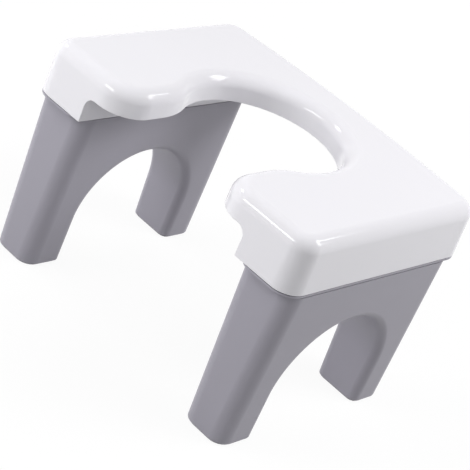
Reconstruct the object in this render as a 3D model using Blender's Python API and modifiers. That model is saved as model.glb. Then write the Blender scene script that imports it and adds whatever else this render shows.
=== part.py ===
"""A toilet stool: a U-shaped moulded seat on two hollow legs with an arch through each.

Metres, +Z up, the open side of the U towards -Y. The origin is on the floor, under the
middle of the seat's outline.
"""

import math

import bmesh
import bpy
from mathutils import Matrix

# Overall size
SEAT_WIDTH = 0.460
SEAT_DEPTH = 0.3433
SEAT_HEIGHT = 0.299

# The seat's outline from above
CORNER_RADIUS = 0.028
REAR_BOW = 0.0125
THROAT_WIDTH = 0.160
NOSE_FRONT_RADIUS = 0.044
NOSE_REAR_RADIUS = 0.045
CAVITY_RADIUS = 0.103
CAVITY_CENTRE_Y = -0.005

# The seat in section
TOP_FILLET = 0.018
SKIRT_DEPTH = 0.072
SKIRT_DRAFT = 0.0013
LIP_DEPTH = 0.036
NOTCH_SHARE = 71 / 115
NOTCH_FILLET = 0.013
SEAT_WALL = 0.0023

# Ribs and screw bosses under the seat
RIB_WALL = 0.002
RIB_PITCH = 0.045
CROSS_RIB_COUNT = 7
BRIDGE_RIB_PITCH = 0.040
BRIDGE_RIB_COUNT = 6
RIB_RECESS = 0.004
BOSS_RADIUS = 0.0055
BOSS_RIB_STEP = 1
PILOT_DEPTH = 0.030

# Clearances between the pieces
TOUCH_GAP = 0.0003
SOCKET_CLEARANCE = 0.0003

# The leg's spigot and flange
SPIGOT_WALL = 0.0016
SPIGOT_HEIGHT = 0.022
SPIGOT_LEDGE = 0.0003
FLANGE_THICKNESS = 0.0033
INNER_CORNER_RADIUS = 0.027

# The leg's body
LEG_WALL = 0.0036
LEG_CORNER_RADIUS = 0.0208
LEG_FRONT_SETBACK = 0.0131
LEG_REAR_SETBACK = 0.0295
LEG_OUTER_TAPER = 0.009
LEG_INNER_TAPER = 0.0098
FRONT_KICK = 0.0055
REAR_KICK = 0.0021
FOOT_EDGE_RADIUS = 0.001
FOOT_FLOOR = 0.0028

# The arch through the leg
FRONT_PIER_DEPTH = 0.05545
REAR_PIER_DEPTH = 0.05525
ARCH_SPRING_HEIGHT = 0.0668
ARCH_RISE = 0.0918
ARCH_FILLET = 0.0118

# The rubber pads
PAD_PROUD = 0.0018
PAD_RECESS = 0.0012
PAD_MARGIN = 0.0016
PAD_EDGE = 0.0006
PLUG_RADIUS = 0.005
PLUG_HEIGHT = 0.007

# The screws and the columns that carry them
SCREW_RADIUS = 0.002
SCREW_LENGTH = 0.030
SCREW_TIP = 0.003
HEAD_RADIUS = 0.004
HEAD_HEIGHT = 0.0028
DRIVE_RADIUS = 0.0015
DRIVE_DEPTH = 0.0012
COLUMN_WEB = 0.005
COLUMN_WALL = 0.0025
HEAD_CLEARANCE = 0.0015

# How far a cutter reaches past what it cuts
OVERRUN = 0.010

# Round forms are drawn with this many flats
ARC_STEPS = 6
CAVITY_STEPS = 16
ARCH_STEPS = 22
FILLET_STEPS = 5
EDGE_STEPS = 3
ROUND_STEPS = 20
SHADE_ANGLE = math.radians(32)

# Sizes worked out from those above
HALF_WIDTH = SEAT_WIDTH / 2
HALF_DEPTH = SEAT_DEPTH / 2
HALF_THROAT = THROAT_WIDTH / 2
HALF_NOTCH = HALF_WIDTH * NOTCH_SHARE
BOW_RADIUS = (HALF_WIDTH ** 2 + REAR_BOW ** 2) / (2 * REAR_BOW)
SKIRT_BOTTOM = SEAT_HEIGHT - SKIRT_DEPTH
LIP_BOTTOM = SEAT_HEIGHT - LIP_DEPTH
FLANGE_TOP = SKIRT_BOTTOM - TOUCH_GAP
FLANGE_BOTTOM = FLANGE_TOP - FLANGE_THICKNESS
SPIGOT_TOP = FLANGE_TOP + SPIGOT_HEIGHT
SPIGOT_INSET = SEAT_WALL + SOCKET_CLEARANCE
LEG_STEP = SPIGOT_INSET + SPIGOT_WALL - LEG_WALL + SPIGOT_LEDGE
LEG_TOP_OUTER = HALF_WIDTH - LEG_STEP
LEG_TOP_INNER = HALF_NOTCH + LEG_STEP
LEG_TOP_FRONT = LEG_FRONT_SETBACK - HALF_DEPTH
LEG_TOP_REAR = HALF_DEPTH - LEG_REAR_SETBACK
ARCH_FRONT = LEG_TOP_FRONT + FRONT_PIER_DEPTH
ARCH_REAR = LEG_TOP_REAR - REAR_PIER_DEPTH
ARCH_CENTRE_Y = (LEG_FRONT_SETBACK + FRONT_PIER_DEPTH - LEG_REAR_SETBACK - REAR_PIER_DEPTH) / 2
ARCH_HALF_SPAN = (ARCH_REAR - ARCH_FRONT) / 2
FOOT_BOTTOM = PAD_PROUD
PAD_SEAT = FOOT_BOTTOM + PAD_RECESS
FLOOR_TOP = PAD_SEAT + FOOT_FLOOR
PILOT_RADIUS = SCREW_RADIUS + TOUCH_GAP
BORE_RADIUS = HEAD_RADIUS + HEAD_CLEARANCE
COLUMN_RADIUS = BORE_RADIUS + COLUMN_WALL
BORE_TOP = FLANGE_TOP - COLUMN_WEB
SCREW_X = (LEG_TOP_OUTER + LEG_TOP_INNER) / 2
SCREW_REACH = BOSS_RIB_STEP * RIB_PITCH


def start_scene():
    """Empty the scene and make the two collections."""
    for old in list(bpy.data.objects):
        bpy.data.objects.remove(old, do_unlink=True)
    parts = bpy.data.collections.new("toilet_stool")
    cutters = bpy.data.collections.new("cutters")
    bpy.context.scene.collection.children.link(parts)
    bpy.context.scene.collection.children.link(cutters)
    return parts, cutters


def material(name, colour, roughness, metallic):
    """A plain Principled material."""
    made = bpy.data.materials.new(name)
    made.use_nodes = True
    shader = made.node_tree.nodes["Principled BSDF"]
    shader.inputs["Base Color"].default_value = (*colour, 1)
    shader.inputs["Roughness"].default_value = roughness
    shader.inputs["Metallic"].default_value = metallic
    made.diffuse_color = (*colour, 1)
    return made


def arc(centre_x, centre_y, radius, start, end, steps):
    """Points along an arc, both ends included."""
    angles = [start + (end - start) * step / steps for step in range(steps + 1)]
    return [(centre_x + radius * math.cos(a), centre_y + radius * math.sin(a)) for a in angles]


def without_repeats(points):
    """The same closed outline without points that fall on the one before."""
    kept = []
    for point in points:
        if not kept or math.dist(point, kept[-1]) > TOUCH_GAP / 10:
            kept.append(point)
    if math.dist(kept[0], kept[-1]) < TOUCH_GAP / 10:
        kept.pop()
    return kept


def outer_edge(inset):
    """The seat's outer edge on the right: front corner, side, rear corner and rear bow."""
    corner_x = HALF_WIDTH - CORNER_RADIUS
    bow_centre = HALF_DEPTH - BOW_RADIUS
    rear_y = bow_centre + math.sqrt((BOW_RADIUS - CORNER_RADIUS) ** 2 - corner_x ** 2)
    meet = math.atan2(rear_y - bow_centre, corner_x)
    radius = CORNER_RADIUS - inset
    front_y = CORNER_RADIUS - HALF_DEPTH
    points = arc(corner_x, front_y, radius, math.radians(-90), 0, ARC_STEPS)
    points += arc(corner_x, rear_y, radius, 0, meet, ARC_STEPS)
    return points, bow_centre, meet


def seat_outline(inset):
    """The whole U, drawn in from the seat's edge by the inset, counterclockwise."""
    nose_x = HALF_THROAT + NOSE_REAR_RADIUS
    reach = math.sqrt((CAVITY_RADIUS + NOSE_REAR_RADIUS) ** 2 - nose_x ** 2)
    nose_y = CAVITY_CENTRE_Y - reach
    turn = math.atan2(-reach, nose_x)
    front_x = HALF_THROAT + NOSE_FRONT_RADIUS
    front_y = NOSE_FRONT_RADIUS - HALF_DEPTH
    edge, bow_centre, meet = outer_edge(inset)
    half = arc(0, CAVITY_CENTRE_Y, CAVITY_RADIUS + inset, math.radians(90), turn, CAVITY_STEPS)
    half += arc(nose_x, nose_y, NOSE_REAR_RADIUS - inset, turn + math.pi, math.pi, ARC_STEPS)
    half += arc(front_x, front_y, NOSE_FRONT_RADIUS - inset, math.pi, math.radians(270), ARC_STEPS)
    half += edge
    half += arc(0, bow_centre, BOW_RADIUS - inset, meet, math.radians(90), ARC_STEPS)
    other = [(-x, y) for x, y in reversed(half)]
    return without_repeats(half + other)


def wing_outline(inset):
    """The deep part of the right wing, from its skirt to the socket's inner wall."""
    edge, bow_centre, meet = outer_edge(inset)
    radius = INNER_CORNER_RADIUS - inset
    corner_x = HALF_NOTCH + INNER_CORNER_RADIUS
    rear_y = bow_centre + math.sqrt((BOW_RADIUS - INNER_CORNER_RADIUS) ** 2 - corner_x ** 2)
    rear_meet = math.atan2(rear_y - bow_centre, corner_x)
    front_y = INNER_CORNER_RADIUS - HALF_DEPTH
    points = list(edge)
    points += arc(0, bow_centre, BOW_RADIUS - inset, meet, rear_meet, EDGE_STEPS)
    points += arc(corner_x, rear_y, radius, rear_meet, math.pi, ARC_STEPS)
    points += arc(corner_x, front_y, radius, math.pi, math.radians(270), ARC_STEPS)
    return without_repeats(points)


def draft_at(height):
    """How far the skirt has leaned in at a height."""
    straight = SKIRT_DEPTH - TOP_FILLET
    return SKIRT_DRAFT * (height - SKIRT_BOTTOM) / straight


def leg_sides(height):
    """Where the right leg's outer, inner, front and rear faces stand at a height."""
    share = 1 - height / FLANGE_BOTTOM
    outer = LEG_TOP_OUTER - LEG_OUTER_TAPER * share
    inner = LEG_TOP_INNER + LEG_INNER_TAPER * share
    front = LEG_TOP_FRONT - FRONT_KICK * share
    rear = LEG_TOP_REAR + REAR_KICK * share
    return outer, inner, front, rear


def leg_end(height, inset):
    """The two round corners of the leg's end face, as if it faced -Y at y = 0."""
    outer, inner, _, _ = leg_sides(height)
    radius = LEG_CORNER_RADIUS - inset
    down = math.radians(270)
    points = arc(inner + LEG_CORNER_RADIUS, LEG_CORNER_RADIUS, radius, math.pi, down, ARC_STEPS)
    points += arc(outer - LEG_CORNER_RADIUS, LEG_CORNER_RADIUS, radius, down, 2 * math.pi, ARC_STEPS)
    return points


def leg_outline(height, inset):
    """The right leg in plan at a height, counterclockwise."""
    _, _, front, rear = leg_sides(height)
    end = leg_end(height, inset)
    near = [(x, front + y) for x, y in end]
    far = [(x, rear - y) for x, y in reversed(end)]
    return near + far


def foot_outline(is_front, inset):
    """One foot of the right leg in plan at its sole, between the leg's end and the arch."""
    outer, inner, front, rear = leg_sides(FOOT_BOTTOM)
    radius = ARCH_FILLET - inset
    away = -1 if is_front else 1
    corner_y = (ARCH_FRONT if is_front else ARCH_REAR) + away * ARCH_FILLET
    end_y = front if is_front else rear
    end = [(x, end_y - away * y) for x, y in leg_end(FOOT_BOTTOM, inset)]
    quarter = math.radians(90)
    right_x = outer - ARCH_FILLET
    left_x = inner + ARCH_FILLET
    right = arc(right_x, corner_y, radius, 0, -away * quarter, EDGE_STEPS)
    left = arc(left_x, corner_y, radius, -away * quarter, -away * math.pi, EDGE_STEPS)
    points = without_repeats(end + right + left)
    return points if is_front else list(reversed(points))


def arch_profile(offset):
    """The arch's outline in y and z, widened all round by the offset, open at the floor."""
    bottom = FOOT_BOTTOM - OVERRUN
    across = ARCH_HALF_SPAN + offset
    rise = ARCH_RISE + offset
    points = [(ARCH_CENTRE_Y + across, bottom)]
    for step in range(ARCH_STEPS + 1):
        angle = math.pi * step / ARCH_STEPS
        y = ARCH_CENTRE_Y + across * math.cos(angle)
        z = ARCH_SPRING_HEIGHT + rise * math.sin(angle)
        points.append((y, z))
    points.append((ARCH_CENTRE_Y - across, bottom))
    return points


def loft(name, rings, group):
    """A closed skin through rings with the same number of points, capped at both ends."""
    mesh = bpy.data.meshes.new(name)
    shape = bmesh.new()
    rows = [[shape.verts.new(point) for point in ring] for ring in rings]
    for below, above in zip(rows, rows[1:]):
        for index in range(len(below)):
            after = (index + 1) % len(below)
            shape.faces.new((below[index], below[after], above[after], above[index]))
    shape.faces.new(list(reversed(rows[0])))
    shape.faces.new(rows[-1])
    bmesh.ops.recalc_face_normals(shape, faces=shape.faces)
    shape.to_mesh(mesh)
    shape.free()
    made = bpy.data.objects.new(name, mesh)
    group.objects.link(made)
    return made


def level(outline, height):
    """A plan outline lifted to a height."""
    return [(x, y, height) for x, y in outline]


def prism(name, outline, bottom, top, group):
    """A flat outline as a filled curve, thickened between two heights and made a mesh."""
    curve = bpy.data.curves.new(name, "CURVE")
    curve.dimensions = "2D"
    curve.fill_mode = "BOTH"
    curve.extrude = (top - bottom) / 2
    line = curve.splines.new("POLY")
    line.points.add(len(outline) - 1)
    for point, (x, y) in zip(line.points, outline):
        point.co = (x, y, 0, 1)
    line.use_cyclic_u = True
    drawn = bpy.data.objects.new(name + "_curve", curve)
    drawn.location.z = (top + bottom) / 2
    group.objects.link(drawn)
    bpy.context.view_layer.update()
    graph = bpy.context.evaluated_depsgraph_get()
    mesh = bpy.data.meshes.new_from_object(drawn.evaluated_get(graph))
    shape = bmesh.new()
    shape.from_mesh(mesh)
    bmesh.ops.remove_doubles(shape, verts=shape.verts, dist=TOUCH_GAP / 100)
    bmesh.ops.recalc_face_normals(shape, faces=shape.faces)
    shape.to_mesh(mesh)
    shape.free()
    made = bpy.data.objects.new(name, mesh)
    made.matrix_world = drawn.matrix_world.copy()
    group.objects.link(made)
    bpy.data.objects.remove(drawn, do_unlink=True)
    return made


def box(name, low, high, group):
    """A box between two corners."""
    mesh = bpy.data.meshes.new(name)
    shape = bmesh.new()
    bmesh.ops.create_cube(shape, size=1)
    size = [b - a for a, b in zip(low, high)]
    middle = [(a + b) / 2 for a, b in zip(low, high)]
    bmesh.ops.scale(shape, vec=size, verts=shape.verts)
    bmesh.ops.translate(shape, vec=middle, verts=shape.verts)
    shape.to_mesh(mesh)
    shape.free()
    made = bpy.data.objects.new(name, mesh)
    group.objects.link(made)
    return made


def cylinder(name, place, radius, bottom, top, group):
    """An upright cylinder at a place in plan."""
    mesh = bpy.data.meshes.new(name)
    shape = bmesh.new()
    bmesh.ops.create_cone(
        shape, cap_ends=True, segments=ROUND_STEPS, radius1=radius, radius2=radius, depth=top - bottom
    )
    bmesh.ops.translate(shape, vec=(place[0], place[1], (top + bottom) / 2), verts=shape.verts)
    shape.to_mesh(mesh)
    shape.free()
    made = bpy.data.objects.new(name, mesh)
    group.objects.link(made)
    return made


def boolean(target, tool, operation):
    """Cut, join or keep the common part of two objects."""
    step = target.modifiers.new(tool.name, "BOOLEAN")
    step.operation = operation
    step.solver = "EXACT"
    step.object = tool


def repeat(target, axis, pitch, count):
    """Copies of an object in a row."""
    row = target.modifiers.new("row", "ARRAY")
    row.count = count
    row.use_relative_offset = False
    row.use_constant_offset = True
    offset = [0, 0, 0]
    offset[axis] = pitch
    row.constant_offset_displace = offset


def mirror(target):
    """A second copy on the other side of the middle plane."""
    pair = target.modifiers.new("pair", "MIRROR")
    pair.use_mirror_merge = False


def bake(target, finish):
    """Turn the modifiers' result into the object's own mesh and shade it."""
    bpy.context.view_layer.update()
    graph = bpy.context.evaluated_depsgraph_get()
    mesh = bpy.data.meshes.new_from_object(target.evaluated_get(graph))
    target.modifiers.clear()
    target.data = mesh
    mesh.name = target.name
    mesh.materials.clear()
    mesh.materials.append(finish)
    mesh.shade_smooth()
    mesh.set_sharp_from_angle(angle=SHADE_ANGLE)


def mirrored(name, source, group):
    """A copy of a baked object as seen in a mirror on the middle plane."""
    mesh = source.data.copy()
    mesh.name = name
    shape = bmesh.new()
    shape.from_mesh(mesh)
    bmesh.ops.transform(shape, matrix=source.matrix_world, verts=shape.verts)
    bmesh.ops.transform(shape, matrix=Matrix.Scale(-1, 4, (1, 0, 0)), verts=shape.verts)
    bmesh.ops.reverse_faces(shape, faces=shape.faces)
    shape.to_mesh(mesh)
    shape.free()
    made = bpy.data.objects.new(name, mesh)
    group.objects.link(made)
    return made


def seat_skin(name, wall, bottom, group):
    """The seat's outer skin, or the face a wall's thickness inside it."""
    fillet = TOP_FILLET - wall
    top = SEAT_HEIGHT - wall
    rings = [level(seat_outline(wall + draft_at(bottom)), bottom)]
    for step in range(FILLET_STEPS + 1):
        angle = math.radians(90) * step / FILLET_STEPS
        inset = wall + SKIRT_DRAFT + fillet * (1 - math.cos(angle))
        rings.append(level(seat_outline(inset), top - fillet * (1 - math.sin(angle))))
    return loft(name, rings, group)


def notch_cutter(group):
    """The space between the two deep skirts, under the lip, with rounded upper corners."""
    low = SKIRT_BOTTOM - OVERRUN
    corner_x = HALF_NOTCH - NOTCH_FILLET
    corner_z = LIP_BOTTOM - NOTCH_FILLET
    right = arc(corner_x, corner_z, NOTCH_FILLET, 0, math.radians(90), ARC_STEPS)
    half = [(HALF_NOTCH, low)] + right
    profile = half + [(-x, z) for x, z in reversed(half)]
    reach = HALF_DEPTH + OVERRUN
    rings = [[(x, y, z) for x, z in profile] for y in (-reach, reach)]
    return loft("notch", rings, group)


def cross_rib(group):
    """A rib from side to side, deep in the bridge and shallow over the leg sockets."""
    start = ARCH_CENTRE_Y - RIB_PITCH * (CROSS_RIB_COUNT - 1) / 2
    middle_z = LIP_BOTTOM + RIB_RECESS
    side_z = SPIGOT_TOP + TOUCH_GAP
    half = [(HALF_WIDTH, SEAT_HEIGHT), (HALF_WIDTH, side_z), (HALF_NOTCH, side_z)]
    half.append((HALF_NOTCH, middle_z))
    profile = half + [(-x, z) for x, z in reversed(half)]
    rings = []
    for y in (start - RIB_WALL / 2, start + RIB_WALL / 2):
        rings.append([(x, y, z) for x, z in profile])
    rib = loft("cross_ribs", rings, group)
    repeat(rib, 1, RIB_PITCH, CROSS_RIB_COUNT)
    return rib


def bridge_rib(group):
    """A rib from front to back across the bridge behind the cavity."""
    start = -BRIDGE_RIB_PITCH * (BRIDGE_RIB_COUNT - 1) / 2
    low = (start - RIB_WALL / 2, CAVITY_CENTRE_Y, LIP_BOTTOM + RIB_RECESS)
    high = (start + RIB_WALL / 2, HALF_DEPTH, SEAT_HEIGHT)
    rib = box("bridge_ribs", low, high, group)
    repeat(rib, 0, BRIDGE_RIB_PITCH, BRIDGE_RIB_COUNT)
    return rib


def socket_wall(group):
    """The inner wall of each leg socket."""
    low = (HALF_NOTCH, -HALF_DEPTH, SKIRT_BOTTOM - OVERRUN)
    high = (HALF_NOTCH + SEAT_WALL, HALF_DEPTH, SEAT_HEIGHT)
    wall = box("socket_walls", low, high, group)
    mirror(wall)
    return wall


def screw_places():
    """The plan places of the right leg's screws, front first."""
    return [(SCREW_X, ARCH_CENTRE_Y + side * SCREW_REACH) for side in (-1, 1)]


def screw_cylinders(name, radius, bottom, top, group):
    """Upright cylinders at the screws of both legs, for the seat."""
    first, _ = screw_places()
    made = cylinder(name, first, radius, bottom, top, group)
    repeat(made, 1, 2 * SCREW_REACH, 2)
    mirror(made)
    return made


def make_seat(parts, cutters, finish):
    """The seat: its skin, hollowed from below but for walls, ribs and bosses."""
    seat = seat_skin("seat_shell", 0, SKIRT_BOTTOM, parts)
    hollow = seat_skin("seat_hollow", SEAT_WALL, SKIRT_BOTTOM - OVERRUN, cutters)
    bosses = screw_cylinders("bosses", BOSS_RADIUS, SKIRT_BOTTOM, SEAT_HEIGHT, cutters)
    for kept in (socket_wall(cutters), cross_rib(cutters), bridge_rib(cutters), bosses):
        boolean(hollow, kept, "DIFFERENCE")
    boolean(seat, notch_cutter(cutters), "DIFFERENCE")
    boolean(seat, hollow, "DIFFERENCE")
    pilot_top = SKIRT_BOTTOM + PILOT_DEPTH
    pilots = screw_cylinders("pilots", PILOT_RADIUS, SKIRT_BOTTOM - OVERRUN, pilot_top, cutters)
    boolean(seat, pilots, "DIFFERENCE")
    bake(seat, finish)
    return seat


def arch_cutter(name, wall, group):
    """The arch through the right leg with its rounded edges, or a wall's thickness round it."""
    fillet = ARCH_FILLET - wall
    steps = [math.radians(90) * step / EDGE_STEPS for step in range(EDGE_STEPS + 1)]
    stations = [(-OVERRUN, wall + fillet)]
    for angle in steps:
        stations.append((wall + fillet * (1 - math.cos(angle)), wall + fillet * (1 - math.sin(angle))))
    rings = []
    for depth, offset in stations:
        ring = [(leg_sides(z)[0] - depth, y, z) for y, z in arch_profile(offset)]
        rings.append(ring)
    for depth, offset in reversed(stations):
        ring = [(leg_sides(z)[1] + depth, y, z) for y, z in arch_profile(offset)]
        rings.append(ring)
    return loft(name, rings, group)


def leg_body(group):
    """The right leg's outer skin from its rounded sole to inside the flange."""
    top = (FLANGE_TOP + FLANGE_BOTTOM) / 2
    rings = []
    for step in range(EDGE_STEPS + 1):
        angle = math.radians(90) * step / EDGE_STEPS
        height = FOOT_BOTTOM + FOOT_EDGE_RADIUS * (1 - math.cos(angle))
        inset = FOOT_EDGE_RADIUS * (1 - math.sin(angle))
        rings.append(level(leg_outline(height, inset), height))
    rings.append(level(leg_outline(top, 0), top))
    return loft("right_leg", rings, group)


def leg_hollow(group):
    """The space inside the right leg, round the arch and the screw columns."""
    top = FLANGE_TOP + TOUCH_GAP
    bottom = level(leg_outline(FLOOR_TOP, LEG_WALL), FLOOR_TOP)
    hollow = loft("leg_hollow", [bottom, level(leg_outline(top, LEG_WALL), top)], group)
    boolean(hollow, arch_cutter("arch_wall", LEG_WALL, group), "DIFFERENCE")
    for index, place in enumerate(screw_places()):
        name = "column_" + str(index)
        column = cylinder(name, place, COLUMN_RADIUS, ARCH_SPRING_HEIGHT, top + OVERRUN, group)
        low = (0, place[1] - RIB_WALL / 2, ARCH_SPRING_HEIGHT)
        high = (HALF_WIDTH, place[1] + RIB_WALL / 2, FLANGE_BOTTOM)
        boolean(hollow, column, "DIFFERENCE")
        boolean(hollow, box(name + "_rib", low, high, group), "DIFFERENCE")
    return hollow


def spigot(name, inset, bottom, top, group):
    """A block that follows the inside of the socket, drawn in by the inset."""
    rings = []
    for height in (bottom, top):
        rings.append(level(wing_outline(inset + max(0, draft_at(height))), height))
    return loft(name, rings, group)


def make_leg(parts, cutters, finish):
    """The right leg: body, flange and spigot in one hollow moulding."""
    leg = leg_body(parts)
    flange = prism("flange", wing_outline(0), FLANGE_BOTTOM, FLANGE_TOP, cutters)
    middle = (FLANGE_TOP + FLANGE_BOTTOM) / 2
    boolean(leg, flange, "UNION")
    boolean(leg, spigot("spigot", SPIGOT_INSET, middle, SPIGOT_TOP, cutters), "UNION")
    boolean(leg, arch_cutter("arch", 0, cutters), "DIFFERENCE")
    boolean(leg, leg_hollow(cutters), "DIFFERENCE")
    inside = SPIGOT_INSET + SPIGOT_WALL
    boolean(leg, spigot("spigot_hollow", inside, FLANGE_TOP, SPIGOT_TOP + OVERRUN, cutters), "DIFFERENCE")
    for index, place in enumerate(screw_places()):
        name = "screw_hole_" + str(index)
        bore = cylinder(name + "_bore", place, BORE_RADIUS, ARCH_SPRING_HEIGHT, BORE_TOP, cutters)
        hole = cylinder(name, place, PILOT_RADIUS, BORE_TOP - OVERRUN, FLANGE_TOP + OVERRUN, cutters)
        boolean(leg, bore, "DIFFERENCE")
        boolean(leg, hole, "DIFFERENCE")
    for is_front in (True, False):
        name = "front_pad_seat" if is_front else "rear_pad_seat"
        outline = foot_outline(is_front, PAD_MARGIN)
        recess = prism(name, outline, FOOT_BOTTOM - OVERRUN, PAD_SEAT, cutters)
        radius = PLUG_RADIUS + TOUCH_GAP
        top = FLOOR_TOP + OVERRUN
        hole = cylinder(name + "_hole", plug_place(is_front), radius, FOOT_BOTTOM, top, cutters)
        boolean(leg, recess, "DIFFERENCE")
        boolean(leg, hole, "DIFFERENCE")
    bake(leg, finish)
    return leg


def plug_place(is_front):
    """The middle of a foot's sole in plan."""
    outer, inner, front, rear = leg_sides(FOOT_BOTTOM)
    if is_front:
        return (outer + inner) / 2, (front + ARCH_FRONT) / 2
    return (outer + inner) / 2, (rear + ARCH_REAR) / 2


def make_pad(name, is_front, parts, cutters, finish):
    """A rubber pad of the right leg: a plate in the sole's recess and a plug up through it."""
    outline = foot_outline(is_front, PAD_MARGIN + TOUCH_GAP)
    edge = foot_outline(is_front, PAD_MARGIN + TOUCH_GAP + PAD_EDGE)
    top = PAD_SEAT - TOUCH_GAP
    rings = [level(edge, 0), level(outline, PAD_EDGE), level(outline, top)]
    pad = loft(name, rings, parts)
    plug_top = FOOT_BOTTOM + PLUG_HEIGHT
    plug = cylinder(name + "_plug", plug_place(is_front), PLUG_RADIUS, PAD_EDGE, plug_top, cutters)
    boolean(pad, plug, "UNION")
    bake(pad, finish)
    return pad


def make_screw(name, place, parts, finish):
    """A pan-head screw, its head in the column's bore and its shank up in the seat's boss."""
    profile = [
        (0, SCREW_LENGTH),
        (SCREW_RADIUS, SCREW_LENGTH - SCREW_TIP),
        (SCREW_RADIUS, 0),
        (HEAD_RADIUS, 0),
        (HEAD_RADIUS, -HEAD_HEIGHT / 2),
        ((DRIVE_RADIUS + HEAD_RADIUS) / 2, -HEAD_HEIGHT),
        (DRIVE_RADIUS, -HEAD_HEIGHT),
        (DRIVE_RADIUS, DRIVE_DEPTH - HEAD_HEIGHT),
        (0, DRIVE_DEPTH - HEAD_HEIGHT),
    ]
    mesh = bpy.data.meshes.new(name)
    shape = bmesh.new()
    points = [shape.verts.new((x, 0, z)) for x, z in profile]
    for first, second in zip(points, points[1:]):
        shape.edges.new((first, second))
    shape.to_mesh(mesh)
    shape.free()
    made = bpy.data.objects.new(name, mesh)
    made.location = (place[0], place[1], BORE_TOP - TOUCH_GAP)
    parts.objects.link(made)
    turn = made.modifiers.new("turn", "SCREW")
    turn.steps = ROUND_STEPS
    turn.render_steps = ROUND_STEPS
    turn.use_merge_vertices = True
    turn.merge_threshold = TOUCH_GAP / 10
    bake(made, finish)
    return made


def build():
    parts, cutters = start_scene()
    white = material("white_plastic", (0.86, 0.86, 0.88), 0.22, 0)
    grey = material("grey_plastic", (0.36, 0.35, 0.39), 0.45, 0)
    rubber = material("grey_rubber", (0.25, 0.24, 0.27), 0.8, 0)
    steel = material("zinc_plated_steel", (0.62, 0.62, 0.60), 0.35, 1)
    make_seat(parts, cutters, white)
    right_leg = make_leg(parts, cutters, grey)
    mirrored("left_leg", right_leg, parts)
    for is_front, end in ((True, "front"), (False, "rear")):
        pad = make_pad(end + "_right_foot_pad", is_front, parts, cutters, rubber)
        mirrored(end + "_left_foot_pad", pad, parts)
    for place, end in zip(screw_places(), ("front", "rear")):
        screw = make_screw(end + "_right_screw", place, parts, steel)
        bpy.context.view_layer.update()
        mirrored(end + "_left_screw", screw, parts)
    for tool in cutters.objects:
        tool.hide_render = True
        tool.display_type = "WIRE"


build()
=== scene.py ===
import math

import bmesh
import bpy
from mathutils import Matrix, Vector


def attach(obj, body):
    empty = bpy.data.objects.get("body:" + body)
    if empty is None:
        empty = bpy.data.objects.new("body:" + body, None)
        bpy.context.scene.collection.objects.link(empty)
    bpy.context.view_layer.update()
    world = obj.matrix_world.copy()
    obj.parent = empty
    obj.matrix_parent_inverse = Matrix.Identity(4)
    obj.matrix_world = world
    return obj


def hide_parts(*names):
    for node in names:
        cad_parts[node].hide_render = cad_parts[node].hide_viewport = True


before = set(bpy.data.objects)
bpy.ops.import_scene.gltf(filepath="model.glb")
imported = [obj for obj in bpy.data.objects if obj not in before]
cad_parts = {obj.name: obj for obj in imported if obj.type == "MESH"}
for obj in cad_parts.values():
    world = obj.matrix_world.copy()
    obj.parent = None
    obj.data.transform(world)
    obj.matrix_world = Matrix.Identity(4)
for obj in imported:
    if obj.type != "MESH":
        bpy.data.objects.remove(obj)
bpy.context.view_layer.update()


# The camera stands where the photograph's did, in front and to the right of the open side,
# looking down and tilted so that the stool runs across the frame from corner to corner.
def direction(turn, rise):
    """A unit vector at a turn round the stool from its front and a rise above the floor."""
    return Vector((
        math.sin(turn) * math.cos(rise), -math.cos(turn) * math.cos(rise), math.sin(rise)
    ))


aim = Vector((0.0066, 0.0127, 0.1291))
camera_turn = math.radians(34.3503)
camera_rise = math.radians(28.1336)
camera_tilt = math.radians(22.3633)
camera_distance = 2.3114
toward_camera = direction(camera_turn, camera_rise)
camera_data = bpy.data.cameras.new("camera")
camera_data.sensor_width = 36
camera_data.lens = 140.09
camera_data.clip_start = 0.05
camera = bpy.data.objects.new("camera", camera_data)
bpy.context.scene.collection.objects.link(camera)
upright = toward_camera.to_track_quat("Z", "Y").to_matrix().to_4x4()
camera.matrix_world = (
    Matrix.Translation(aim + toward_camera * camera_distance)
    @ upright
    @ Matrix.Rotation(camera_tilt, 4, "Z")
)
bpy.context.scene.camera = camera
bpy.context.scene.view_settings.view_transform = "Standard"

# The seat is one injection moulding in glossy white polypropylene, a U seen from above.
# Its skirt is deep over the legs and shallow between them. Underneath it is hollow, with a
# lattice of thin ribs, and each wing has a socket that a leg is pressed up into.
half_width = 0.230
half_depth = 0.17165
seat_top = 0.299
corner_radius = 0.028
rear_bow = 0.0125
half_throat = 0.0789
nose_front = 0.0467
nose_rear = 0.100
cavity_radius = 0.1023
cavity_y = -0.0044
top_fillet = 0.018
skirt_depth = 0.072
skirt_draft = 0.0013
lip_depth = 0.036
half_notch = 0.142
notch_fillet = 0.013
skirt_rounding = 0.0005
seat_wall = 0.0023
rib_wall = 0.002
rib_lift = 0.004
cross_rib_count = 7
cross_rib_step = 0.045
cross_ribs_y = -0.0081
rear_rib_count = 6
rear_rib_step = 0.040
socket_gap = 0.00015
skirt_low = seat_top - skirt_depth
bow_radius = (half_width ** 2 + rear_bow ** 2) / (2 * rear_bow)
quarter_turn = math.pi / 2
weld_distance = 2e-5
tiny_gap = 1e-5
overcut = 0.01
sharp_angle = 1.0
crease_angle = 35
seat_flat = 0.003
core_flat = 0.006
core_inset = seat_wall / 4


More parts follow.
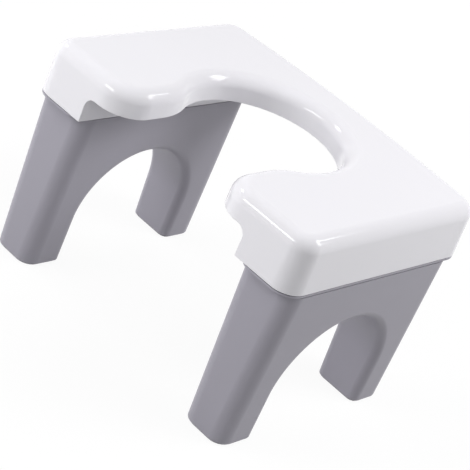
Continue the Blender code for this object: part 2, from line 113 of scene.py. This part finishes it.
def seat_edge(inset):
    """The right half of the U as arcs: centre, radius, and the angles where each starts and ends."""
    nose_x = half_throat + nose_rear
    reach = math.sqrt((cavity_radius + nose_rear) ** 2 - nose_x ** 2)
    turn = math.atan2(-reach, nose_x)
    front = (half_throat + nose_front, nose_front - half_depth)
    corner_x = half_width - corner_radius
    bow_y = half_depth - bow_radius
    corner_y = bow_y + math.sqrt((bow_radius - corner_radius) ** 2 - corner_x ** 2)
    meet = math.atan2(corner_y - bow_y, corner_x)
    return [
        ((0, cavity_y), cavity_radius + inset, quarter_turn, turn),
        ((nose_x, cavity_y - reach), nose_rear - inset, turn + math.pi, math.pi),
        (front, nose_front - inset, math.pi, 3 * quarter_turn),
        ((corner_x, corner_radius - half_depth), corner_radius - inset, -quarter_turn, 0),
        ((corner_x, corner_y), corner_radius - inset, 0, meet),
        ((0, bow_y), bow_radius - inset, meet, quarter_turn),
    ]


def only_verts(made):
    """The vertices among what a bmesh operator made."""
    return [item for item in made if isinstance(item, bmesh.types.BMVert)]


def draw_arcs(shape, arcs, flat):
    """Draws one line of edges along arcs that follow each other, with flats about that long."""
    pen = None
    for (x, y), radius, start, end in arcs:
        place = Vector((x + radius * math.cos(start), y + radius * math.sin(start), 0))
        if pen is None:
            pen = shape.verts.new(place)
        elif (pen.co - place).length > tiny_gap:
            pen = bmesh.ops.extrude_vert_indiv(shape, verts=[pen])["verts"][0]
            pen.co = place
        steps = max(4, round(abs(end - start) * radius / flat))
        swept = bmesh.ops.spin(
            shape, geom=[pen], cent=(x, y, 0), axis=(0, 0, 1), angle=end - start, steps=steps
        )
        pen = only_verts(swept["geom_last"])[0]


def close_plate(shape, height):
    """Fills a closed line of edges with one face that looks up, at a height."""
    bmesh.ops.remove_doubles(shape, verts=shape.verts, dist=weld_distance)
    plate = bmesh.ops.contextual_create(shape, geom=shape.edges[:])["faces"]
    plate[0].normal_update()
    if plate[0].normal.z < 0:
        bmesh.ops.reverse_faces(shape, faces=plate)
    bmesh.ops.translate(shape, vec=(0, 0, height), verts=shape.verts)
    return plate


def round_edges(shape, edges, radius, segments):
    """Rounds edges of a bmesh over, or a corner's edges into an arc, with so many flats."""
    bmesh.ops.bevel(
        shape,
        geom=edges,
        affect="EDGES",
        offset=radius,
        segments=segments,
        profile=0.5,
        material=-1,
    )


def seat_block(inset, flat):
    """The seat's outside from the skirt's edge to the filleted top, open below."""
    shape = bmesh.new()
    draw_arcs(shape, seat_edge(inset), flat)
    bmesh.ops.mirror(shape, geom=shape.verts[:] + shape.edges[:], merge_dist=weld_distance, axis="X")
    plate = close_plate(shape, skirt_low)
    lean = skirt_draft * skirt_depth / (skirt_depth - top_fillet)
    rise = skirt_depth - inset
    bmesh.ops.inset_region(
        shape, faces=plate, thickness=lean, depth=rise, use_boundary=True, use_even_offset=True
    )
    round_edges(shape, plate[0].edges[:], top_fillet - inset, segments=10)
    return shape


def add_piece(name, shape):
    """Puts a finished bmesh into the scene as a named object at the origin."""
    mesh = bpy.data.meshes.new(name)
    shape.to_mesh(mesh)
    shape.free()
    piece = bpy.data.objects.new(name, mesh)
    bpy.context.scene.collection.objects.link(piece)
    return piece


def settle(piece, *spent):
    """Keeps what the piece's modifiers show as its own mesh, and removes the spent cutters."""
    graph = bpy.context.evaluated_depsgraph_get()
    piece.data = bpy.data.meshes.new_from_object(piece.evaluated_get(graph))
    piece.data.name = piece.name
    piece.modifiers.clear()
    for cutter in spent:
        bpy.data.objects.remove(cutter, do_unlink=True)


def cut(piece, cutter, operation="DIFFERENCE"):
    """Cuts the piece by another, or keeps only what they share."""
    step = piece.modifiers.new(cutter.name, "BOOLEAN")
    step.object = cutter
    step.operation = operation
    step.solver = "EXACT"


def block(shape, low, high):
    """Adds a box between two corners to a bmesh."""
    size = [b - a for a, b in zip(low, high)]
    middle = [(a + b) / 2 for a, b in zip(low, high)]
    place = Matrix.Translation(middle) @ Matrix.Diagonal((*size, 1))
    bmesh.ops.create_cube(shape, size=1, matrix=place)


def soften(piece, angle):
    """Shades a piece smooth, but sharp past an angle, with each flat kept truly flat."""
    piece.data.shade_smooth()
    piece.data.set_sharp_from_angle(angle=math.radians(angle))
    flats = piece.modifiers.new("flats", "WEIGHTED_NORMAL")
    flats.keep_sharp = True
    settle(piece)


seat = add_piece("seat", seat_block(0, seat_flat))
walls = seat.modifiers.new("walls", "SOLIDIFY")
walls.thickness = seat_wall
walls.offset = -1
walls.use_even_offset = True

shape = bmesh.new()
block(
    shape,
    (-half_notch, -half_depth - overcut, skirt_low - overcut),
    (half_notch, half_depth + overcut, seat_top - lip_depth),
)
crown = [
    edge for edge in shape.edges
    if all(vert.co.z > skirt_low for vert in edge.verts)
    and edge.verts[0].co.x == edge.verts[1].co.x
]
round_edges(shape, crown, notch_fillet, segments=8)
notch = add_piece("notch", shape)
cut(seat, notch)
settle(seat, notch)
shape = bmesh.new()
shape.from_mesh(seat.data)
skirt_edges = [
    edge for edge in shape.edges
    if edge.calc_face_angle(0) > sharp_angle
    and all(vert.co.z < seat_top - top_fillet for vert in edge.verts)
]
round_edges(shape, skirt_edges, skirt_rounding, segments=2)
shape.to_mesh(seat.data)
shape.free()

rib_low = seat_top - lip_depth + rib_lift
rib_high = seat_top - rib_wall / 2
shape = bmesh.new()
for step in range(cross_rib_count):
    y = cross_ribs_y + cross_rib_step * (step - (cross_rib_count - 1) / 2)
    block(
        shape,
        (-half_notch, y - rib_wall / 2, rib_low),
        (half_notch, y + rib_wall / 2, rib_high),
    )
ribs = add_piece("cross_ribs", shape)
shape = bmesh.new()
for step in range(rear_rib_count):
    x = rear_rib_step * (step - (rear_rib_count - 1) / 2)
    block(
        shape,
        (x - rib_wall / 2, cavity_y, rib_low),
        (x + rib_wall / 2, half_depth, rib_high),
    )
rear_ribs = add_piece("rear_ribs", shape)
shape = bmesh.new()
for side in (-1, 1):
    near, far = sorted((side * (half_notch + socket_gap), side * (half_notch + seat_wall)))
    block(shape, (near, -half_depth, skirt_low), (far, half_depth, rib_high))
socket_walls = add_piece("socket_walls", shape)
core_shape = seat_block(core_inset, core_flat)
open_edges = [edge for edge in core_shape.edges if edge.is_boundary]
bmesh.ops.holes_fill(core_shape, edges=open_edges)
core = add_piece("core", core_shape)
lattice = [ribs, rear_ribs, socket_walls]
for grid in lattice:
    cut(grid, core, "INTERSECT")
    settle(grid)
bpy.data.objects.remove(core, do_unlink=True)

shape = bmesh.new()
shape.from_mesh(seat.data)
for grid in lattice:
    shape.from_mesh(grid.data)
    bpy.data.objects.remove(grid, do_unlink=True)
shape.to_mesh(seat.data)
shape.free()
soften(seat, crease_angle)


def finish_group():
    """A node group for moulded surfaces: broad shade, smudged gloss and fine grain."""
    group = bpy.data.node_groups.new("moulded_finish", "ShaderNodeTree")
    for way, names in (
        ("INPUT", ("Colour", "Shade", "Gloss", "Smudge", "Grain")),
        ("OUTPUT", ("Colour", "Roughness", "Height")),
    ):
        for name in names:
            kind = "NodeSocketColor" if name == "Colour" else "NodeSocketFloat"
            group.interface.new_socket(name=name, in_out=way, socket_type=kind)
    nodes, links = group.nodes, group.links
    given = nodes.new("NodeGroupInput")
    taken = nodes.new("NodeGroupOutput")
    place = nodes.new("ShaderNodeTexCoord")

    def noise(detail, roughness):
        """Noise over the piece, whose scale counts its spots in a metre."""
        made = nodes.new("ShaderNodeTexNoise")
        made.inputs["Detail"].default_value = detail
        made.inputs["Roughness"].default_value = roughness
        links.new(place.outputs["Object"], made.inputs["Vector"])
        return made

    def sway(source, amount):
        """A value that swings about nothing by the amount."""
        centred = nodes.new("ShaderNodeMath")
        centred.operation = "SUBTRACT"
        centred.inputs[1].default_value = 0.5
        links.new(source.outputs["Fac"], centred.inputs[0])
        scaled = nodes.new("ShaderNodeMath")
        scaled.operation = "MULTIPLY"
        links.new(centred.outputs[0], scaled.inputs[0])
        links.new(given.outputs[amount], scaled.inputs[1])
        return scaled

    broad = noise(detail=3, roughness=0.5)
    broad.inputs["Scale"].default_value = 11
    shade = sway(broad, "Shade")
    lift = nodes.new("ShaderNodeMath")
    lift.operation = "ADD"
    lift.inputs[1].default_value = 1
    links.new(shade.outputs[0], lift.inputs[0])
    tint = nodes.new("ShaderNodeVectorMath")
    tint.operation = "SCALE"
    links.new(given.outputs["Colour"], tint.inputs[0])
    links.new(lift.outputs[0], tint.inputs["Scale"])
    links.new(tint.outputs[0], taken.inputs["Colour"])
    close = noise(detail=5, roughness=0.65)
    close.inputs["Scale"].default_value = 38
    smudge = sway(close, "Smudge")
    gloss = nodes.new("ShaderNodeMath")
    gloss.operation = "ADD"
    links.new(given.outputs["Gloss"], gloss.inputs[0])
    links.new(smudge.outputs[0], gloss.inputs[1])
    links.new(gloss.outputs[0], taken.inputs["Roughness"])
    grain = noise(detail=2, roughness=0.5)
    links.new(given.outputs["Grain"], grain.inputs["Scale"])
    links.new(grain.outputs["Fac"], taken.inputs["Height"])
    return group


moulded_finish = finish_group()


def moulded(name, colour, shade, gloss, smudge, grain, depth):
    """A moulded plastic or rubber with the shared finish and a bump of the depth given."""
    made = bpy.data.materials.new(name)
    made.use_nodes = True
    nodes, links = made.node_tree.nodes, made.node_tree.links
    shader = nodes["Principled BSDF"]
    finish = nodes.new("ShaderNodeGroup")
    finish.node_tree = moulded_finish
    finish.inputs["Colour"].default_value = (*colour, 1)
    finish.inputs["Shade"].default_value = shade
    finish.inputs["Gloss"].default_value = gloss
    finish.inputs["Smudge"].default_value = smudge
    finish.inputs["Grain"].default_value = grain
    bump = nodes.new("ShaderNodeBump")
    bump.inputs["Strength"].default_value = 1
    bump.inputs["Distance"].default_value = depth
    links.new(finish.outputs["Height"], bump.inputs["Height"])
    links.new(finish.outputs["Colour"], shader.inputs["Base Color"])
    links.new(finish.outputs["Roughness"], shader.inputs["Roughness"])
    links.new(bump.outputs["Normal"], shader.inputs["Normal"])
    return made


def paint(piece, material):
    """Gives a piece one material in place of those it has."""
    piece.data.materials.clear()
    piece.data.materials.append(material)


white_plastic = moulded(
    "white_plastic",
    colour=(0.797, 0.787, 0.825),
    shade=0.02,
    gloss=0.065,
    smudge=0.03,
    grain=450,
    depth=0.000003,
)
paint(seat, white_plastic)
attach(seat, "root")
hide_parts("seat_shell")

# Each leg is a hollow moulding in satin grey polypropylene, whose outside is drawn: two
# tapering feet joined over a round arch, under a flange with a groove below its outer side.
# A spigot fits up into the seat's socket, and two bores in the arch lead up to the screws.
leg_corner = 0.0208
leg_foot = 0.0018
sole_rounding = 0.001
flange_top = skirt_low - 0.0003
flange_low = flange_top - 0.0037
flange_mid = (flange_low + flange_top) / 2
rim_top = flange_top - 0.0008
flange_inset = 0.0003
flange_top_rounding = 0.0004
flange_low_rounding = 0.0006
groove_height = 0.0016
groove_depth = 0.0025
groove_rounding = 0.0004
inner_ledge = 0.0001
leg_top = flange_low - groove_height
leg_top_outer = 0.2291
leg_top_inner = 0.1429
leg_front_top = 0.0131 - half_depth
leg_rear_top = half_depth - 0.0295
outer_taper = 0.009
inner_taper = 0.0098
front_flare = 0.0055
rear_flare = 0.0021
leg_middle = (leg_top_inner + leg_top_outer) / 2
facing_up = 0.99
arch_y = -0.0081
arch_half = 0.095
arch_spring = 0.0668
arch_rise = 0.0918
arch_fillet = 0.0118
arch_reach = 0.3
arch_flats = 48
rim_margin = 1e-4
top_margin = 1e-3
inner_corner = 0.027
spigot_inset = 0.0026 + skirt_draft / 2
spigot_top = flange_top + 0.022
bore_top = flange_top - 0.005
bore_radius = 0.0055
screw_reach = 0.045
wing_flat = 0.004


def wing_edge(inset):
    """The deep part of the right wing as arcs, from the front's outer corner round to the inner."""
    outer = seat_edge(inset)[3:5]
    centre_x = half_notch + inner_corner
    bow_y = half_depth - bow_radius
    rear_y = bow_y + math.sqrt((bow_radius - inner_corner) ** 2 - centre_x ** 2)
    meet = math.atan2(rear_y - bow_y, centre_x)
    radius = inner_corner - inset
    return outer + [
        ((0, bow_y), bow_radius - inset, outer[1][3], meet),
        ((centre_x, rear_y), radius, meet, math.pi),
        ((centre_x, inner_corner - half_depth), radius, math.pi, 3 * quarter_turn),
    ]


def wing_plate(inset, low, high):
    """A slab of the wing's outline between two heights."""
    shape = bmesh.new()
    draw_arcs(shape, wing_edge(inset), wing_flat)
    bmesh.ops.remove_doubles(shape, verts=shape.verts, dist=weld_distance)
    loose = [vert for vert in shape.verts if len(vert.link_edges) == 1]
    if loose:
        bmesh.ops.contextual_create(shape, geom=loose)
    plate = close_plate(shape, low)
    raised = bmesh.ops.extrude_face_region(shape, geom=plate)["geom"]
    bmesh.ops.translate(shape, vec=(0, 0, high - low), verts=only_verts(raised))
    bmesh.ops.recalc_face_normals(shape, faces=shape.faces)
    return shape


def leg_sides(height):
    """Where the right leg's inner, outer, front and rear faces stand at a height."""
    share = 1 - height / flange_low
    return (
        leg_top_inner + inner_taper * share,
        leg_top_outer - outer_taper * share,
        leg_front_top - front_flare * share,
        leg_rear_top + rear_flare * share,
    )


shape = bmesh.new()
bmesh.ops.create_cube(shape, size=2)
uprights = [edge for edge in shape.edges if edge.verts[0].co.z != edge.verts[1].co.z]
for vert in shape.verts:
    height = leg_top if vert.co.z > 0 else leg_foot
    inner, outer, front, rear = leg_sides(height)
    vert.co = (outer if vert.co.x > 0 else inner, rear if vert.co.y > 0 else front, height)
round_edges(shape, uprights, leg_corner, segments=10)
shape.normal_update()
brim = next(face for face in shape.faces if face.normal.z > facing_up)
outer_brim = [edge for edge in brim.edges if all(vert.co.x > leg_middle for vert in edge.verts)]
round_edges(shape, outer_brim, groove_rounding, segments=2)
lid = [max(shape.faces, key=lambda face: face.calc_center_median().z)]
bmesh.ops.inset_region(
    shape, faces=lid, thickness=groove_depth, use_boundary=True, use_even_offset=True
)
for vert in lid[0].verts:
    if vert.co.x < leg_middle:
        vert.co.x -= groove_depth - inner_ledge
bmesh.ops.inset_region(shape, faces=lid, depth=flange_mid - leg_top, use_boundary=True)
right_leg = add_piece("right_leg_moulding", shape)

shape = bmesh.new()
foot = shape.verts.new((0, arch_y + arch_half, -overcut))
pen = bmesh.ops.extrude_vert_indiv(shape, verts=[foot])["verts"][0]
pen.co.z = arch_spring
swept = bmesh.ops.spin(
    shape,
    geom=[pen],
    cent=(0, arch_y, arch_spring),
    axis=(1, 0, 0),
    angle=math.pi,
    steps=arch_flats,
)
above = [vert for vert in shape.verts if vert.co.z > arch_spring]
stretch = Matrix.Diagonal((1, 1, arch_rise / arch_half, 1))
to_spring = Matrix.Translation((0, 0, arch_spring))
from_spring = Matrix.Translation((0, 0, -arch_spring))
bmesh.ops.transform(shape, matrix=to_spring @ stretch @ from_spring, verts=above)
pen = only_verts(swept["geom_last"])[0]
pen = bmesh.ops.extrude_vert_indiv(shape, verts=[pen])["verts"][0]
pen.co.z = -overcut
bmesh.ops.contextual_create(shape, geom=[pen, foot])
plate = bmesh.ops.contextual_create(shape, geom=shape.edges[:])["faces"]
across = bmesh.ops.extrude_face_region(shape, geom=plate)["geom"]
bmesh.ops.translate(shape, vec=(arch_reach, 0, 0), verts=only_verts(across))
bmesh.ops.recalc_face_normals(shape, faces=shape.faces)
arch = add_piece("arch", shape)
cut(right_leg, arch)
settle(right_leg, arch)


def is_rim(edge):
    """True for an edge where the arch meets the leg's inner or outer face."""
    if len(edge.link_faces) != 2 or edge.calc_face_angle(0) < sharp_angle:
        return False
    return any(vert.co.z > leg_foot + rim_margin for vert in edge.verts) and all(
        abs(vert.co.y - arch_y) < arch_half + rim_margin and vert.co.z < leg_top - top_margin
        for vert in edge.verts
    )


shape = bmesh.new()
shape.from_mesh(right_leg.data)
rims = [edge for edge in shape.edges if is_rim(edge)]
round_edges(shape, rims, arch_fillet, segments=8)
soles = [
    edge for edge in shape.edges
    if all(vert.co.z < leg_foot + tiny_gap for vert in edge.verts)
    and edge.calc_face_angle(0) > sharp_angle
]
round_edges(shape, soles, sole_rounding, segments=3)
shape.to_mesh(right_leg.data)
shape.free()

shape = bmesh.new()
bore_z = (arch_spring + bore_top) / 2
for side in (-1, 1):
    bmesh.ops.create_cone(
        shape,
        cap_ends=True,
        segments=32,
        radius1=bore_radius,
        radius2=bore_radius,
        depth=bore_top - arch_spring,
        matrix=Matrix.Translation((leg_middle, arch_y + side * screw_reach, bore_z)),
    )
bores = add_piece("bores", shape)
cut(right_leg, bores)
settle(right_leg, bores)

flange = wing_plate(flange_inset, flange_low, rim_top)
for height, rounding in ((rim_top, flange_top_rounding), (flange_low, flange_low_rounding)):
    rim = [
        edge for edge in flange.edges
        if edge.calc_face_angle(0) > sharp_angle
        and all(abs(vert.co.z - height) < tiny_gap for vert in edge.verts)
    ]
    round_edges(flange, rim, rounding, segments=4)
spigot = wing_plate(spigot_inset, flange_mid, spigot_top)
shape = bmesh.new()
shape.from_mesh(right_leg.data)
for more in (flange, spigot):
    mesh = bpy.data.meshes.new("more")
    more.to_mesh(mesh)
    more.free()
    shape.from_mesh(mesh)
    bpy.data.meshes.remove(mesh)
shape.to_mesh(right_leg.data)
bmesh.ops.scale(shape, vec=(-1, 1, 1), verts=shape.verts)
bmesh.ops.reverse_faces(shape, faces=shape.faces)
left_leg = add_piece("left_leg_moulding", shape)

grey_plastic = moulded(
    "grey_plastic",
    colour=(0.331, 0.319, 0.367),
    shade=0.05,
    gloss=0.42,
    smudge=0.10,
    grain=1400,
    depth=0.00002,
)
for leg, node in ((right_leg, "right_leg"), (left_leg, "left_leg")):
    soften(leg, crease_angle)
    paint(leg, grey_plastic)
    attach(leg, "root")
    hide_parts(node)

# The pads are moulded in soft dark grey rubber, and a plug on each holds it in the sole of
# its foot. Only their dull edges show, as a thin line over the floor.
grey_rubber = moulded(
    "grey_rubber",
    colour=(0.16, 0.155, 0.18),
    shade=0.08,
    gloss=0.75,
    smudge=0.10,
    grain=900,
    depth=0.00004,
)
for node in (
    "front_left_foot_pad", "rear_left_foot_pad", "front_right_foot_pad", "rear_right_foot_pad"
):
    paint(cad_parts[node], grey_rubber)

# The screws are zinc-plated steel. Two reach up through the bores of each leg into bosses
# under the seat, so their heads are seen only from below.
zinc = moulded(
    "zinc_plate",
    colour=(0.62, 0.62, 0.60),
    shade=0.10,
    gloss=0.32,
    smudge=0.15,
    grain=600,
    depth=0.000006,
)
zinc.node_tree.nodes["Principled BSDF"].inputs["Metallic"].default_value = 1
for node in ("front_left_screw", "rear_left_screw", "front_right_screw", "rear_right_screw"):
    paint(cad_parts[node], zinc)


# The floor is a wide pale sheet. The camera and mirrors see it nearly white with a faint
# shadow, while all other light meets a plain pale surface.
def ray_kinds(nodes, links, *kinds):
    """A value of one for rays of the kinds named, and of nothing for the rest."""
    ray = nodes.new("ShaderNodeLightPath")
    value = ray.outputs[kinds[0]]
    for kind in kinds[1:]:
        either = nodes.new("ShaderNodeMath")
        either.operation = "MAXIMUM"
        links.new(value, either.inputs[0])
        links.new(ray.outputs[kind], either.inputs[1])
        value = either.outputs[0]
    return value


floor_reach = 14
floor_drop = 0.0002
paper_grey = 0.5
glow_strength = 1.08
glow_share = 0.85
shape = bmesh.new()
bmesh.ops.create_grid(shape, x_segments=1, y_segments=1, size=floor_reach)
bmesh.ops.translate(shape, vec=(0, 0, -floor_drop), verts=shape.verts)
floor = add_piece("floor", shape)
pale = bpy.data.materials.new("pale_floor")
pale.use_nodes = True
nodes, links = pale.node_tree.nodes, pale.node_tree.links
nodes.clear()
paper = nodes.new("ShaderNodeBsdfDiffuse")
paper.inputs["Color"].default_value = (paper_grey, paper_grey, paper_grey, 1)
glow = nodes.new("ShaderNodeEmission")
glow.inputs["Strength"].default_value = glow_strength
dimmed = nodes.new("ShaderNodeMath")
dimmed.operation = "MULTIPLY"
dimmed.inputs[1].default_value = glow_share
seen = ray_kinds(nodes, links, "Is Camera Ray", "Is Glossy Ray", "Is Transmission Ray")
links.new(seen, dimmed.inputs[0])
mix = nodes.new("ShaderNodeMixShader")
links.new(dimmed.outputs[0], mix.inputs[0])
links.new(paper.outputs[0], mix.inputs[1])
links.new(glow.outputs[0], mix.inputs[2])
end = nodes.new("ShaderNodeOutputMaterial")
links.new(mix.outputs[0], end.inputs["Surface"])
floor.data.materials.append(pale)

# The studio has an even pale room and soft lamps all round the stool: broad ones above its
# height, low ones that brighten the skirts and legs, and strips that the gloss mirrors.
fill_strength = 0.03
room_strength = 0.92
room = bpy.data.worlds.new("room")
bpy.context.scene.world = room
room.use_nodes = True
nodes, links = room.node_tree.nodes, room.node_tree.links
fill = nodes["Background"]
fill.inputs["Color"].default_value = (1, 1, 1, 1)
fill.inputs["Strength"].default_value = fill_strength
seen_room = nodes.new("ShaderNodeBackground")
seen_room.inputs["Color"].default_value = (1, 1, 1, 1)
seen_room.inputs["Strength"].default_value = room_strength
mix = nodes.new("ShaderNodeMixShader")
links.new(ray_kinds(nodes, links, "Is Camera Ray", "Is Glossy Ray"), mix.inputs[0])
links.new(fill.outputs[0], mix.inputs[1])
links.new(seen_room.outputs[0], mix.inputs[2])
links.new(mix.outputs[0], nodes["World Output"].inputs["Surface"])

lamp_aim = Vector((0, 0, 0.15))
lamp_distance = 2.4


def soft_lamp(name, turn, rise, size, power, mirrored=False):
    """A softbox that looks at the stool from a turn round it and a rise above the floor."""
    data = bpy.data.lights.new(name, "AREA")
    data.shape = "RECTANGLE"
    data.size, data.size_y = size
    data.energy = power
    lamp = bpy.data.objects.new(name, data)
    bpy.context.scene.collection.objects.link(lamp)
    away = direction(math.radians(turn), math.radians(rise))
    lamp.location = lamp_aim + away * lamp_distance
    lamp.rotation_euler = away.to_track_quat("Z", "Y").to_euler()
    lamp.visible_glossy = mirrored


soft_lamp("front_left", -40, 36, (1.5, 1.5), 20)
soft_lamp("front_right", 40, 40, (1.5, 1.5), 12)
soft_lamp("back_right", 130, 52, (1.5, 1.5), 28)
soft_lamp("low_front", -40, 10, (1.5, 0.7), 9)
soft_lamp("low_left", -85, 10, (1.5, 0.7), 16)
soft_lamp("low_back", -150, 10, (1.5, 0.7), 18)
soft_lamp("low_right", 160, 10, (1.5, 0.7), 12)
soft_lamp("strip_front", -21, 29, (1.2, 0.4), 12, mirrored=True)
soft_lamp("strip_back", 141, 44.6, (0.9, 0.5), 9, mirrored=True)
soft_lamp("strip_side", 132, 33.5, (0.62, 0.5), 5, mirrored=True)
soft_lamp("strip_left", -74, 37, (0.45, 0.45), 6, mirrored=True)
